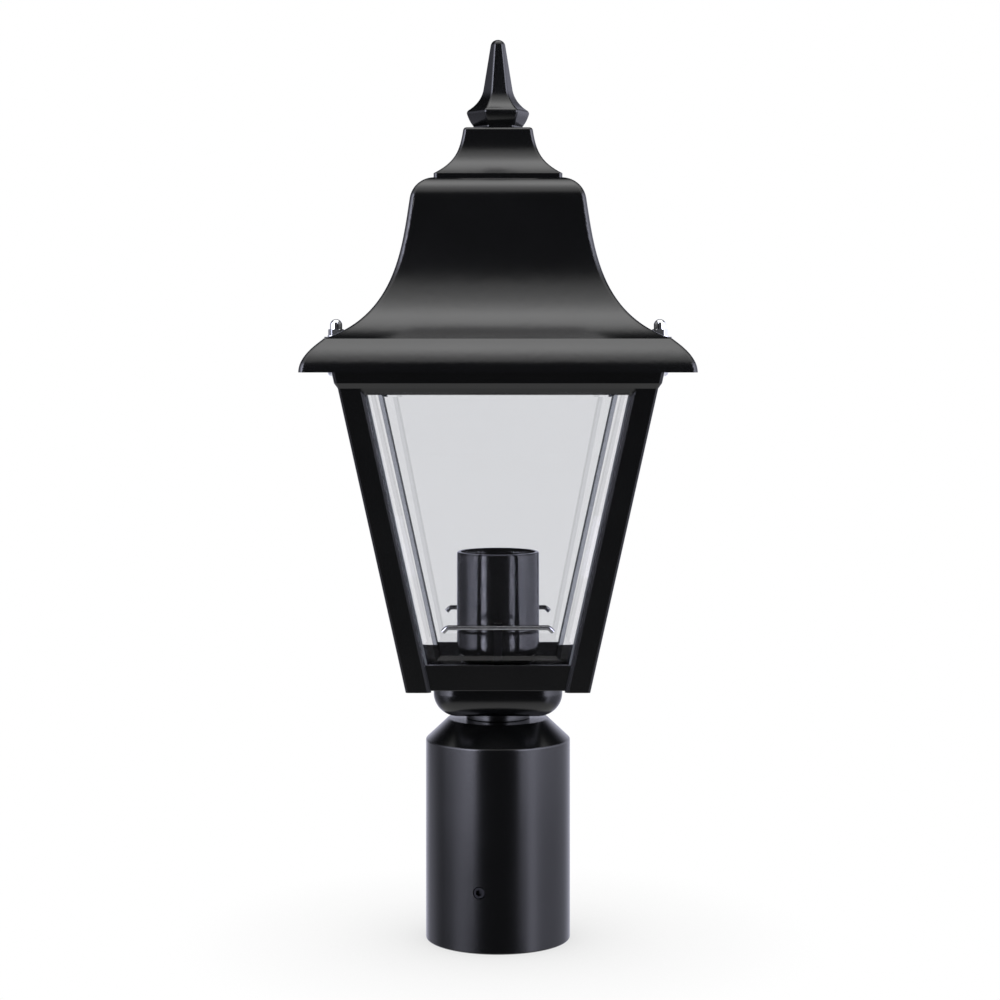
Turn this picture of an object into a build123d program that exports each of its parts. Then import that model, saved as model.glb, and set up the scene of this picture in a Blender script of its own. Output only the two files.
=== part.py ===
"""Post top lantern: a square tapered cage with bevelled panes, a bell roof and a sleeve for a post.

Millimetres. +Z is up, the origin is the centre of the sleeve's bottom rim, and the front is -Y.
A solid that cuts a hole or hollow runs 1 mm past the faces it opens.
"""
from build123d import *
import math
import os

os.makedirs("parts", exist_ok=True)

# Fits
RUNNING = 0.05          # radial gap of a piece that turns or slides in its hole
THROUGH = 0.3           # radial gap of a screw in a clearance hole
SEAT_GAP = 0.4          # gap between cast faces that don't seat on each other

# Post sleeve, which slips over a round post
POST_R = 30.0
POST_GAP = 0.5
SLEEVE_WALL = 5.8
SLEEVE_H = 100.2
SLEEVE_STOP_Z = 90.0    # where the end of the post stops
SLEEVE_CONE_H = 10.4
SLEEVE_TOP_R = 25.2
SLEEVE_WEB = 4.6        # thickness of the top that the stem is bolted to
SLEEVE_CREASE_R = 1.2
SLEEVE_EDGE_R = 0.8

# Set screws in the sleeve
SET_SCREW_R = 3.0
SET_SCREW_Z = 30.0
SET_SCREW_COUNT = 3
SET_SCREW_TURN = -105.0  # direction of the first one, seen from above
SET_SCREW_SOCKET_FLATS = 3.0
SET_SCREW_SOCKET_H = 2.6
SET_SCREW_SINK = 0.2    # from the sleeve's face in to the screws' outer ends
SET_SCREW_EDGE = 0.4

# Stem, collar and bowl
STEM_R = 6.0
STEM_BORE_R = 4.2
STEM_NUT_FLATS = 17.0
STEM_NUT_H = 5.0
STEM_WASHER_R = 11.0
STEM_WASHER_T = 1.5
STEM_THREAD_SHOW = 1.4
COLLAR_R = 16.0
COLLAR_H = 4.0
COLLAR_EDGE_R = 0.4
BOWL_HALF = 32.0
BOWL_H = 15.7
BOWL_WALL = 2.5
BOWL_CORNER_R = 13.0
BOWL_UNDER_R = 11.5
BUSH_WALL = 1.0
BUSH_LENGTH = 6.0
BUSH_FLANGE_T = 1.5
BUSH_FLANGE_R = 6.4
BUSH_EDGE_R = 0.5

# Cage: four leaning posts, a top ring and a pan, in one casting
LEAN = 11.76            # degrees that each face leans out
FOOT_HALF = 45.0        # half width at the feet of the posts
FOOT_DROP = 0.6         # how far the feet reach below the pan
CAGE_H = 158.2          # from the underside of the pan to the top of the ring
CAGE_WALL = 2.5
CAGE_CORNER_R = 1.6
POST_FACE = 10.5
LIP_W = 2.0             # rounded inner edge of a post's face
LIP_STEPS = [(0.0, 0.0), (1.2, 0.5), (2.0, 1.7)]  # its outline: along the face and in from it
WINDOW_CORNER_R = 1.0
RING_H = 12.9           # from the top of the windows to the top of the ring
RING_WALL = 4.5
BAND_H = 7.3
BAND_PROUD = 1.2
BAND_BEVEL_H = 2.5
APRON_H = 12.9
APRON_WALL = 2.0
APRON_EDGE_R = 0.5
FLOOR_T = 2.5
LEDGE_H = 6.3           # height of the panes' seat above the underside of the pan
CAGE_SCREW_INSET = 10.0  # from the side of the bowl to the screws
CAGE_SCREW_DEPTH = 8.0
CAGE_BOSS_R = 4.4
OPENING_EDGE = 8.0      # from the screws to the edge of the floor's round opening

# Glass
PANE_T = 4.0
PANE_EDGE_T = 2.2
PANE_INSET = 4.7        # from the face of the posts to the face of the pane
PANE_MARGIN = 9.7       # from the outer corner of the cage to the side edge of a pane
PANE_BEVEL = 11.0
PANE_TOP_DROP = 2.9     # from the top of the ring to the top of the pane
SEAL_SIZE = 10.8
SEAL_TOP_GAP = 0.3

# Spring wires that press the front and back panes outwards
WIRE_R = 1.2
WIRE_HALF = 24.8
WIRE_TIP_RUN = 2.0
WIRE_TIP_DROP = 2.0
WIRE_BEND_R = 2.0
WIRE_H = 31.2           # above the underside of the pan
WIRE_GAP = 0.03         # play between a wire and its pane
SPRING_PLATE_T = 2.6
SPRING_PLATE_HALF = 2.0
SPRING_PLATE_GAP = 0.5
SPRING_PLATE_OVER = 2.2  # how far a bracket reaches above the axis of its wire
SPRING_LEDGE_GAP = 0.1  # between a bracket and the ledge of the pan
SPRING_FOOT = 9.0
SPRING_FOOT_HALF = 4.0
SPRING_HOLE = 5.0       # from the bend of a bracket to its screw

# Roof: a hollow bell on a square plan
ROOF_H = 94.7
ROOF_WALL = 2.5
EAVE_ROLL = 11.1        # from the crease of the roof out to the edge of the eave
EAVE_DROP = 1.8         # how far the eave hangs below the top of the ring
CREASE_H = 15.7
SHOULDER_HALF = 43.25
SHOULDER_R = 12.5
SHOULDER_TURN = 81.0    # degrees of the shoulder's arc
ROOF_FLARE = [(0.09, 0.34), (0.16, 0.84)]   # curve points, as parts of the flare's run and drop
ROOF_ROLL = [(0.27, 0.16), (1.0, 0.51)]     # the same for the roll of the eave
ROOF_HIP_R = 2.5
ROOF_RIB_T = 2.5
ROOF_RIB_INSET = 1.2    # from the ring's outer face to the rib
GASKET_T = 1.5
GASKET_W = 5.0
GASKET_INSET = 0.8

# Screws and cap nuts that hold the roof down
NUT_OUT = 2.45          # from the ring's outer face to the axis of the nuts
NUT_INSET = 0.6         # from the crease in to the axis of the nuts
ROOF_SCREW_R = 2.0
ROOF_SCREW_HEAD_R = 4.3
ROOF_SCREW_HEAD_H = 2.6
ROOF_SCREW_HEAD_ROUND = 2.2
ROOF_SCREW_SLOT_H = 1.0
ROOF_SCREW_SHOW = 1.4   # how far its end stands up into the nut's dome
LUG_T = 3.0
LUG_HALF = 4.8
LUG_DROP = 0.3          # from the top of the ring to the top of a lug
BOSS_R = 6.0
PAD_RISE = 0.2          # from the crease up to the flat that a washer lies on
SPOT_R = 5.2
WASHER_R = 4.4
WASHER_T = 0.7
NUT_FLATS = 7.0
NUT_HEX_H = 3.2
NUT_CORNER_R = 4.0
NUT_CORNER_ROUND = 0.5
NUT_DOME_R = 3.1
NUT_DOME_ROUND = 2.9
NUT_BORE_OVER = 2.2     # how far the thread runs up into the dome
NUT_H = 8.2

# Upper cap and finial
CAP_HALF = 31.75
CAP_LIP_H = 2.0
CAP_H = 25.8
CAP_TOP_HALF = 17.2
CAP_TOP_R = 1.8
CAP_HIP_R = 2.0
CAP_FLARE = [(0.71, 0.25), (0.87, 0.49), (0.98, 0.92)]  # curve points, as parts of its run and rise
CAP_WALL = 2.5
FINIAL_H = 45.3
FINIAL_FOOT_HALF = 11.0
FINIAL_FOOT_H = 1.4
FINIAL_BULGE_HALF = 13.9
FINIAL_BULGE_H = 7.8
FINIAL_BROW_HALF = 13.1
FINIAL_BROW_H = 9.7
FINIAL_SPIRE_HALF = 6.55
FINIAL_SPIRE_H = 20.4
FINIAL_POINT_HALF = 3.45
FINIAL_POINT_H = 3.0
FINIAL_TURN = 7.0       # degrees that its front face is turned when its thread is tight
FINIAL_STUD_R = 3.0
FINIAL_STUD_GRIP = 12.0
FINIAL_NUT_FLATS = 10.0
FINIAL_NUT_H = 5.0
FINIAL_WASHER_R = 9.0
FINIAL_WASHER_T = 1.6

# Lampholder for a lamp with a 27 mm screw cap
HOLDER_R = 20.7
HOLDER_WALL = 1.8
HOLDER_CAP_H = 21.2
HOLDER_NECK_R = 15.0
HOLDER_NECK_H = 7.7
HOLDER_UNDER_R = 5.0
HOLDER_NECK_WALL = 2.5
HOLDER_COLLAR_WALL = 1.2
HOLDER_SLEEVE_H = 39.2
HOLDER_SCREWED = 7.5    # how far the sleeve screws down over the cap's collar
HOLDER_EDGE = 0.8
SKIRT_R = 16.2
SKIRT_WALL = 1.6
SKIRT_RECESS = 2.0
SKIRT_GAP = 2.0         # from the end of the cap's collar up to the skirt
CORE_R = 17.6
CORE_H = 15.0
CORE_EDGE_R = 0.6
SHELL_R = 13.3
SHELL_T = 0.5
SHELL_H = 26.0
CONTACT_R = 4.0
CONTACT_T = 1.0
CONTACT_EDGE_R = 0.5
CONTACT_STEM_R = 1.5
CONTACT_TRAVEL = 1.5
CONTACT_GAP = 2.4
CONTACT_WELL_R = 6.5
CONTACT_WELL_H = 5.0
CONTACT_SPRING_R = 2.6
CONTACT_SPRING_TURNS = 2.5
CONTACT_WIRE_R = 0.2
STRAP_T = 1.5
STRAP_END = 4.0         # from the axis of its screws to the end of the strap
STRAP_WIDTH = 20.0
STRAP_CORNER_R = 3.0
NIPPLE_R = 5.0
NIPPLE_BORE_R = 3.5
NIPPLE_NUT_FLATS = 14.0
NIPPLE_NUT_H = 4.0
NIPPLE_SHOW = 1.0       # how far its end shows below the nut

# Wiring
BLOCK_SIZE = (28.0, 9.0, 10.0)
BLOCK_CORNER_R = 0.8
BLOCK_GAP = 0.5         # from the stem's washer to the block
BLOCK_POLES = 3
BLOCK_PITCH = 9.0
BLOCK_ROW = 2.0         # from the middle of the block to its row of screws, and to its row of leads
BLOCK_SCREW_R = 1.6
BLOCK_SCREW_H = 4.4
BLOCK_SCREW_SINK = 0.6
BLOCK_SLOT_W = 0.6
BLOCK_SLOT_H = 0.7
LEAD_R = 1.0
LEAD_X = 5.0
LEAD_GRIP = 4.0         # how far a lead goes into the block
LEAD_REACH = 2.0        # how far it goes into the neck of the lampholder
LEAD_BEND_R = 2.4
LEAD_RISE = 10.5
EARTH_BOSS_R = 4.0
EARTH_BOSS_H = 4.0
EARTH_GAP = 2.0         # from the stem's washer to the boss
EARTH_WASHER_R = 4.6
EARTH_WASHER_T = 1.2

# Pan-head machine screws of 4 mm, and the smaller ones of 3 mm
SCREW_R = 2.0
HEAD_R = 4.0
HEAD_H = 2.4
SMALL_SCREW_R = 1.5
SMALL_HEAD_R = 2.8
SMALL_HEAD_H = 1.8
HEAD_ROUND = 0.6        # as a part of the head's height
SLOT_DEPTH = 0.5        # the same
SLOT_W = 1.0

# Sizes that follow from others
SLEEVE_R = POST_R + POST_GAP + SLEEVE_WALL
CAGE_SCREW_OFFSET = BOWL_HALF - CAGE_SCREW_INSET
FLOOR_OPENING_R = CAGE_SCREW_OFFSET * math.sqrt(2) - OPENING_EDGE
STRAP_SCREW_X = FLOOR_OPENING_R + STRAP_END
STRAP_HALF = STRAP_SCREW_X + STRAP_END
BLOCK_Y = STEM_WASHER_R + BLOCK_GAP + BLOCK_SIZE[1] / 2
EARTH_Y = -(STEM_WASHER_R + EARTH_GAP + EARTH_BOSS_R)

# Levels, from the bottom up
SLEEVE_TOP_Z = SLEEVE_H + SLEEVE_CONE_H
BOWL_Z = SLEEVE_TOP_Z + COLLAR_H
RIM_Z = BOWL_Z + BOWL_H
FOOT_Z = RIM_Z - FOOT_DROP
FLOOR_Z = RIM_Z + FLOOR_T
LEDGE_Z = RIM_Z + LEDGE_H
APRON_Z = RIM_Z + APRON_H
RING_TOP_Z = RIM_Z + CAGE_H
WINDOW_TOP_Z = RING_TOP_Z - RING_H
BAND_Z = RING_TOP_Z - BAND_H
PANE_TOP_Z = RING_TOP_Z - PANE_TOP_DROP
LUG_TOP_Z = RING_TOP_Z - LUG_DROP
SEAT_Z = RING_TOP_Z + GASKET_T
EAVE_Z = RING_TOP_Z - EAVE_DROP
CREASE_Z = EAVE_Z + CREASE_H
ROOF_TOP_Z = EAVE_Z + ROOF_H
PAD_Z = CREASE_Z + PAD_RISE
CAP_TOP_Z = ROOF_TOP_Z + CAP_H
STRAP_Z = FLOOR_Z + STRAP_T
HOLDER_SEAM_Z = STRAP_Z + HOLDER_CAP_H
CORE_Z = STRAP_Z + HOLDER_NECK_H + HOLDER_WALL
CORE_TOP_Z = CORE_Z + CORE_H
BOWL_FLOOR_Z = BOWL_Z + BOWL_WALL
BLOCK_TOP_Z = BOWL_FLOOR_Z + BLOCK_SIZE[2]
LEAD_TOP_Z = BLOCK_TOP_Z + LEAD_RISE
EARTH_SEAT_Z = BOWL_FLOOR_Z + EARTH_BOSS_H


def half_width(z):
    """Half width of the cage's outer faces at a height."""
    return FOOT_HALF + (z - FOOT_Z) * math.tan(math.radians(LEAN))


RING_HALF = half_width(RING_TOP_Z) + BAND_PROUD
NUT_X = RING_HALF + NUT_OUT
CREASE_HALF = NUT_X + NUT_INSET  # where the flare of the roof meets the roll of its eave
EAVE_HALF = CREASE_HALF + EAVE_ROLL
SIDES = {"front": 0, "right": 90, "back": 180, "left": 270}


def disc(radius, z0, z1, x=0.0, y=0.0):
    """Upright cylinder between two heights."""
    cylinder = Cylinder(radius, z1 - z0, align=(Align.CENTER, Align.CENTER, Align.MIN))
    return Pos(x, y, z0) * cylinder


def tube(outer, inner, z0, z1, x=0.0, y=0.0):
    """Upright tube between two heights."""
    return disc(outer, z0, z1, x, y) - disc(inner, z0 - 1, z1 + 1, x, y)


def hexagon(flats, z0, z1, x=0.0, y=0.0):
    """Upright hexagonal bar, with its size across the flats."""
    outline = RegularPolygon(flats / 2, 6, major_radius=False)
    return extrude(Pos(x, y, z0) * outline, z1 - z0)


def block(x0, x1, y0, y1, z0, z1):
    """Box between two corners."""
    size = Box(x1 - x0, y1 - y0, z1 - z0, align=(Align.MIN, Align.MIN, Align.MIN))
    return Pos(x0, y0, z0) * size


def rings_at(shape, z, radius=None):
    """Round edges of a shape at one height, or only those of one radius."""
    found = shape.edges().filter_by(GeomType.CIRCLE)
    found = found.filter_by(lambda edge: abs(edge.arc_center.Z - z) < 0.01)
    if radius is not None:
        found = found.filter_by(lambda edge: abs(edge.radius - radius) < 0.01)
    return found


def edges_at(shape, z):
    """Edges of a shape that lie at one height."""
    return shape.edges().filter_by(lambda edge: max(abs(v.Z - z) for v in edge.vertices()) < 0.01)


def pan_head_screw(z_seat, z_tip, x, y, radius=SCREW_R, head_r=HEAD_R, head_h=HEAD_H):
    """Screw with a rounded, slotted head that bears at z_seat, and a shank down to z_tip."""
    head = disc(head_r, z_seat, z_seat + head_h, x, y)
    head = fillet(rings_at(head, z_seat + head_h), head_h * HEAD_ROUND)
    slot_z = z_seat + head_h * (1 - SLOT_DEPTH)
    slot = block(x - head_r, x + head_r, y - SLOT_W / 2, y + SLOT_W / 2, slot_z, z_seat + head_h + 1)
    return head - slot + disc(radius, z_tip, z_seat, x, y)


def frustum(inset, z0, z1, corner=0.0):
    """Solid with the cage's taper, its faces moved in by inset."""
    sections = []
    for z in (z0, z1):
        side = 2 * (half_width(z) - inset)
        outline = RectangleRounded(side, side, corner) if corner else Rectangle(side, side)
        sections.append(Pos(0, 0, z) * outline)
    return loft(sections, ruled=True)


def face_outline(margin, z0, z1, inset, corner=0.0):
    """Outline on the front face, moved in by inset, with its sides margin in from the corners."""
    lean = math.radians(LEAN)
    plane = Plane(
        origin=(0, inset - FOOT_HALF, FOOT_Z),
        x_dir=(1, 0, 0),
        z_dir=(0, -math.cos(lean), -math.sin(lean)),
    )
    low = (half_width(z0) - margin, (z0 - FOOT_Z) / math.cos(lean))
    high = (half_width(z1) - margin, (z1 - FOOT_Z) / math.cos(lean))
    points = [(-low[0], low[1]), low, high, (-high[0], high[1])]
    outline = make_face(Polyline(*points, close=True))
    if corner:
        outline = fillet(outline.vertices().sort_by(Axis.Y)[-2:], corner)
    return plane * outline


def four_sides(shape):
    """The same shape on all four sides of the lantern."""
    return [Rot(0, 0, turn) * shape for turn in SIDES.values()]


def hips(shape):
    """Edges that rise along the corners of a shape with a square plan."""
    def on_corner(point):
        return abs(abs(point.X) - abs(point.Y)) < 0.01

    rising = shape.edges().filter_by(lambda edge: abs((edge @ 0).Z - (edge @ 1).Z) > 0.01)
    return rising.filter_by(lambda edge: on_corner(edge @ 0) and on_corner(edge @ 1))


def bell(profile, turns, reach):
    """Solid whose outline is the profile when seen along each of the turned directions."""
    slab = extrude(Plane.XZ * profile, reach, both=True)
    solid = slab
    for turn in turns:
        solid = solid & (Rot(0, 0, turn) * slab)
    return solid


def moved_in(points, inset):
    """Control points moved to their right by inset, with the corners of their polygon kept."""
    normals = []
    for near, far in zip(points, points[1:]):
        along = Vector(*far) - Vector(*near)
        normals.append(Vector(along.Y, -along.X).normalized())
    moved = []
    for point, before, after in zip(points, normals[:1] + normals, normals + normals[-1:]):
        shift = (before + after) * (inset / (1 + before.dot(after)))
        moved.append((point[0] + shift.X, point[1] + shift.Y))
    return moved


def mirrored_face(edges):
    """Closed face from the right half of an outline that starts and ends on the axis."""
    half = make_face(edges)
    return half + mirror(half, about=Plane.YZ)


def export(shape, name):
    export_step(shape, f"parts/{name}.step")


# ---------------------------------------------------------------- post sleeve
def make_post_sleeve():
    """Turned casting: a straight sleeve that ends in a cone with a flat top."""
    sleeve = disc(SLEEVE_R, 0, SLEEVE_H)
    cone = Cone(SLEEVE_R, SLEEVE_TOP_R, SLEEVE_CONE_H, align=(Align.CENTER, Align.CENTER, Align.MIN))
    sleeve += Pos(0, 0, SLEEVE_H) * cone
    sleeve = fillet(rings_at(sleeve, SLEEVE_H), SLEEVE_CREASE_R)
    sleeve = fillet(rings_at(sleeve, SLEEVE_TOP_Z), SLEEVE_EDGE_R)
    sleeve = fillet(rings_at(sleeve, 0), SLEEVE_EDGE_R)
    stop_r = SLEEVE_R - 2 * SLEEVE_WALL
    web_z = SLEEVE_TOP_Z - SLEEVE_WEB
    throat_z = SLEEVE_STOP_Z + SLEEVE_WALL
    hollow = Cone(stop_r, SLEEVE_TOP_R - 2 * SLEEVE_WALL, web_z - throat_z,
                  align=(Align.CENTER, Align.CENTER, Align.MIN))
    sleeve -= disc(SLEEVE_R - SLEEVE_WALL, -1, SLEEVE_STOP_Z)
    sleeve -= disc(stop_r, SLEEVE_STOP_Z - 1, throat_z)
    sleeve -= Pos(0, 0, throat_z) * hollow
    sleeve -= disc(STEM_R, web_z - 1, SLEEVE_TOP_Z + 1)
    hole = disc(SET_SCREW_R + RUNNING, -SLEEVE_WALL, SLEEVE_WALL + 1)
    for place in set_screw_places():
        sleeve -= place * hole
    return sleeve


def set_screw_places():
    """Place of each set screw: on the sleeve's inner face, pointing outwards."""
    places = []
    for number in range(SET_SCREW_COUNT):
        turn = SET_SCREW_TURN + number * 360 / SET_SCREW_COUNT
        places.append(Rot(0, 0, turn) * Pos(SLEEVE_R - SLEEVE_WALL, 0, SET_SCREW_Z) * Rot(0, 90, 0))
    return places


def make_set_screws():
    """Headless screws, each with a hexagonal socket, flush with the inside of the sleeve."""
    length = SLEEVE_WALL - SET_SCREW_SINK
    screw = chamfer(rings_at(disc(SET_SCREW_R, 0, length), length), SET_SCREW_EDGE)
    screw -= hexagon(SET_SCREW_SOCKET_FLATS, length - SET_SCREW_SOCKET_H, length + 1)
    return [place * screw for place in set_screw_places()]


# ---------------------------------------------------------------- stem, collar and bowl
def stem_levels():
    """Heights of the stem's ends, and of the nuts that clamp it under the web and in the bowl."""
    under_web = SLEEVE_TOP_Z - SLEEVE_WEB - STEM_WASHER_T
    on_floor = BOWL_FLOOR_Z + STEM_WASHER_T
    bottom = under_web - STEM_NUT_H - STEM_THREAD_SHOW
    top = on_floor + STEM_NUT_H + STEM_THREAD_SHOW
    return bottom, under_web, on_floor, top


def make_stem():
    bottom, _, _, top = stem_levels()
    return tube(STEM_R, STEM_BORE_R, bottom, top)


def make_stem_nuts():
    """Two lock nuts, one below the sleeve's top and one in the bowl."""
    _, under_web, on_floor, _ = stem_levels()
    lower = hexagon(STEM_NUT_FLATS, under_web - STEM_NUT_H, under_web)
    upper = hexagon(STEM_NUT_FLATS, on_floor, on_floor + STEM_NUT_H)
    bore = disc(STEM_R, under_web - STEM_NUT_H - 1, on_floor + STEM_NUT_H + 1)
    return [lower - bore, upper - bore]


def make_stem_washers():
    _, under_web, on_floor, _ = stem_levels()
    lower = tube(STEM_WASHER_R, STEM_R, under_web, under_web + STEM_WASHER_T)
    upper = tube(STEM_WASHER_R, STEM_R, on_floor - STEM_WASHER_T, on_floor)
    return [lower, upper]


def make_cable_bush():
    """Rubber bush in the lower end of the stem, which keeps the edge off the supply cable."""
    bottom = stem_levels()[0]
    flange = disc(BUSH_FLANGE_R, bottom - BUSH_FLANGE_T, bottom)
    flange = fillet(rings_at(flange, bottom - BUSH_FLANGE_T), BUSH_EDGE_R)
    body = flange + disc(STEM_BORE_R, bottom, bottom + BUSH_LENGTH)
    inner = STEM_BORE_R - BUSH_WALL
    return body - disc(inner, bottom - BUSH_FLANGE_T - 1, bottom + BUSH_LENGTH + 1)


def make_neck_collar():
    collar = tube(COLLAR_R, STEM_R, SLEEVE_TOP_Z, BOWL_Z)
    return fillet(rings_at(collar, SLEEVE_TOP_Z, COLLAR_R), COLLAR_EDGE_R)


def rounded_bowl(half, z0, z1, corner, under):
    """Square block with round corners and a rounded underside."""
    body = extrude(Pos(0, 0, z0) * RectangleRounded(2 * half, 2 * half, corner), z1 - z0)
    return fillet(edges_at(body, z0), under)


def cage_screw_places():
    offset = CAGE_SCREW_OFFSET
    return [(x, y) for x in (-offset, offset) for y in (-offset, offset)]


def make_base_bowl():
    """Cast bowl under the cage, with a boss in each corner and one for the earth screw."""
    outer = rounded_bowl(BOWL_HALF, BOWL_Z, RIM_Z, BOWL_CORNER_R, BOWL_UNDER_R)
    inner = rounded_bowl(
        BOWL_HALF - BOWL_WALL,
        BOWL_FLOOR_Z,
        RIM_Z + 1,
        BOWL_CORNER_R - BOWL_WALL,
        BOWL_UNDER_R - BOWL_WALL,
    )
    in_floor = BOWL_Z + BOWL_WALL / 2
    bosses = disc(EARTH_BOSS_R, in_floor, EARTH_SEAT_Z, 0, EARTH_Y)
    for x, y in cage_screw_places():
        bosses += disc(CAGE_BOSS_R, in_floor, RIM_Z, x, y)
    bowl = outer - inner + (bosses & outer)
    bowl -= disc(STEM_R, BOWL_Z - 1, RIM_Z)
    bowl -= disc(SCREW_R, BOWL_FLOOR_Z, RIM_Z, 0, EARTH_Y)
    for x, y in cage_screw_places():
        bowl -= disc(SCREW_R, RIM_Z - CAGE_SCREW_DEPTH, RIM_Z + 1, x, y)
    return bowl


def make_cage_screws():
    tip = RIM_Z - CAGE_SCREW_DEPTH
    return [pan_head_screw(FLOOR_Z, tip, x, y) for x, y in cage_screw_places()]


def make_earth_screw():
    return pan_head_screw(EARTH_SEAT_Z + EARTH_WASHER_T, BOWL_FLOOR_Z, 0, EARTH_Y)


def make_earth_washer():
    return tube(EARTH_WASHER_R, SCREW_R, EARTH_SEAT_Z, EARTH_SEAT_Z + EARTH_WASHER_T, 0, EARTH_Y)


# ---------------------------------------------------------------- cage
def window_cut():
    """What is cut away for the front window, with the rounded lips of its posts and ring."""
    below = FOOT_Z - 1
    top_out = BAND_Z - BAND_BEVEL_H
    lip_rise = (top_out - WINDOW_TOP_Z) / LIP_W
    stages = [(0.0, -2 * BAND_PROUD)] + LIP_STEPS + [(LIP_W, RING_WALL + 1)]
    faces = []
    for along, inset in stages:
        top = top_out - lip_rise * along
        faces.append(face_outline(POST_FACE + along, below, top, inset, WINDOW_CORNER_R))
    cut = loft(faces[:2], ruled=True)
    for near, far in zip(faces[1:-1], faces[2:]):
        cut += loft([near, far], ruled=True)
    return cut


def make_cage():
    """Posts, top ring with its nut lugs, and pan, as one casting."""
    cage = frustum(0, FOOT_Z, RING_TOP_Z, CAGE_CORNER_R)
    band_corner = CAGE_CORNER_R + BAND_PROUD / 2
    band_low = 2 * half_width(BAND_Z - BAND_BEVEL_H)
    band_high = 2 * (half_width(BAND_Z) + BAND_PROUD)
    bevel = [
        Pos(0, 0, BAND_Z - BAND_BEVEL_H) * RectangleRounded(band_low, band_low, CAGE_CORNER_R),
        Pos(0, 0, BAND_Z) * RectangleRounded(band_high, band_high, band_corner),
    ]
    cage += loft(bevel, ruled=True)
    cage += frustum(-BAND_PROUD, BAND_Z, RING_TOP_Z, band_corner)
    cage -= frustum(CAGE_WALL, FOOT_Z - 1, WINDOW_TOP_Z)
    cage -= frustum(RING_WALL, WINDOW_TOP_Z - 1, RING_TOP_Z + 1)
    for cut in four_sides(window_cut()):
        cage -= cut
    cage += make_pan()
    for side in (-1, 1):
        cage += roof_lug(side)
        head_room = disc(ROOF_SCREW_HEAD_R + THROUGH, BAND_Z - 1, LUG_TOP_Z - LUG_T, side * NUT_X, 0)
        cage -= head_room
    return cage


def make_pan():
    """Recessed apron, the ledge that the panes stand on, and the floor with its wiring opening."""
    pan = frustum(CAGE_WALL, RIM_Z, APRON_Z)
    pan = fillet(edges_at(pan, APRON_Z) + edges_at(pan, RIM_Z), APRON_EDGE_R)
    ledge_in = PANE_INSET + PANE_T + SPRING_PLATE_GAP - SPRING_LEDGE_GAP
    pan -= frustum(CAGE_WALL + APRON_WALL, LEDGE_Z, APRON_Z + 1)
    pan -= frustum(ledge_in, FLOOR_Z, LEDGE_Z + 1)
    pan -= disc(FLOOR_OPENING_R, RIM_Z - 1, FLOOR_Z + 1)
    for x, y in cage_screw_places():
        pan -= disc(SCREW_R, RIM_Z - 1, FLOOR_Z + 1, x, y)
    for x in (-STRAP_SCREW_X, STRAP_SCREW_X):
        pan -= disc(SCREW_R, RIM_Z - 1, FLOOR_Z + 1, x, 0)
    for x, y in spring_screw_places():
        pan -= disc(SMALL_SCREW_R, RIM_Z - 1, FLOOR_Z + 1, x, y)
    return pan


def roof_lug(side):
    """Ear on the side of the ring, with the hole that a roof screw is driven into."""
    low = LUG_TOP_Z - LUG_T
    start = half_width(LUG_TOP_Z) - RING_WALL / 2
    lug = disc(LUG_HALF, low, LUG_TOP_Z, side * NUT_X, 0)
    ends = sorted((side * start, side * NUT_X))
    lug += block(ends[0], ends[1], -LUG_HALF, LUG_HALF, low, LUG_TOP_Z)
    return lug - disc(ROOF_SCREW_R, low - 1, LUG_TOP_Z + 1, side * NUT_X, 0)


# ---------------------------------------------------------------- glass
def make_pane():
    """Front pane: flat inside, with a broad bevel round its outer face."""
    edge_inset = PANE_INSET + PANE_T - PANE_EDGE_T
    back = face_outline(PANE_MARGIN, LEDGE_Z, PANE_TOP_Z, PANE_INSET + PANE_T)
    edge = face_outline(PANE_MARGIN, LEDGE_Z, PANE_TOP_Z, edge_inset)
    face = face_outline(
        PANE_MARGIN + PANE_BEVEL,
        LEDGE_Z + PANE_BEVEL,
        PANE_TOP_Z - PANE_BEVEL,
        PANE_INSET,
    )
    return loft([back, edge], ruled=True) + loft([edge, face], ruled=True)


def make_corner_seals(panes):
    """Rubber profile in each corner of the cage, slotted for the edges of two panes."""
    top = WINDOW_TOP_Z - SEAL_TOP_GAP
    seals = []
    for x_side in (-1, 1):
        for y_side in (-1, 1):
            sections = []
            for z in (APRON_Z, top):
                centre = half_width(z) - CAGE_WALL - SEAL_SIZE / 2
                section = Rectangle(SEAL_SIZE, SEAL_SIZE)
                sections.append(Pos(x_side * centre, y_side * centre, z) * section)
            seal = loft(sections, ruled=True)
            for pane in panes:
                seal -= pane
            seals.append(seal)
    return seals


# ---------------------------------------------------------------- spring wires
def wire_inset():
    """How far the axis of a spring wire lies in from the face of the posts."""
    return PANE_INSET + PANE_T + WIRE_R / math.cos(math.radians(LEAN)) + WIRE_GAP


def make_spring_wire():
    """Round wire along the front pane, with both ends bent down."""
    inset = wire_inset()
    high = RIM_Z + WIRE_H
    low = high - WIRE_TIP_DROP
    tip = WIRE_HALF + WIRE_TIP_RUN
    points = [
        (-tip, inset - half_width(low), low),
        (-WIRE_HALF, inset - half_width(high), high),
        (WIRE_HALF, inset - half_width(high), high),
        (tip, inset - half_width(low), low),
    ]
    path = FilletPolyline(*points, radius=WIRE_BEND_R)
    start = Plane(origin=path @ 0, z_dir=path % 0)
    return sweep(start * Circle(WIRE_R), path)


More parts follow.
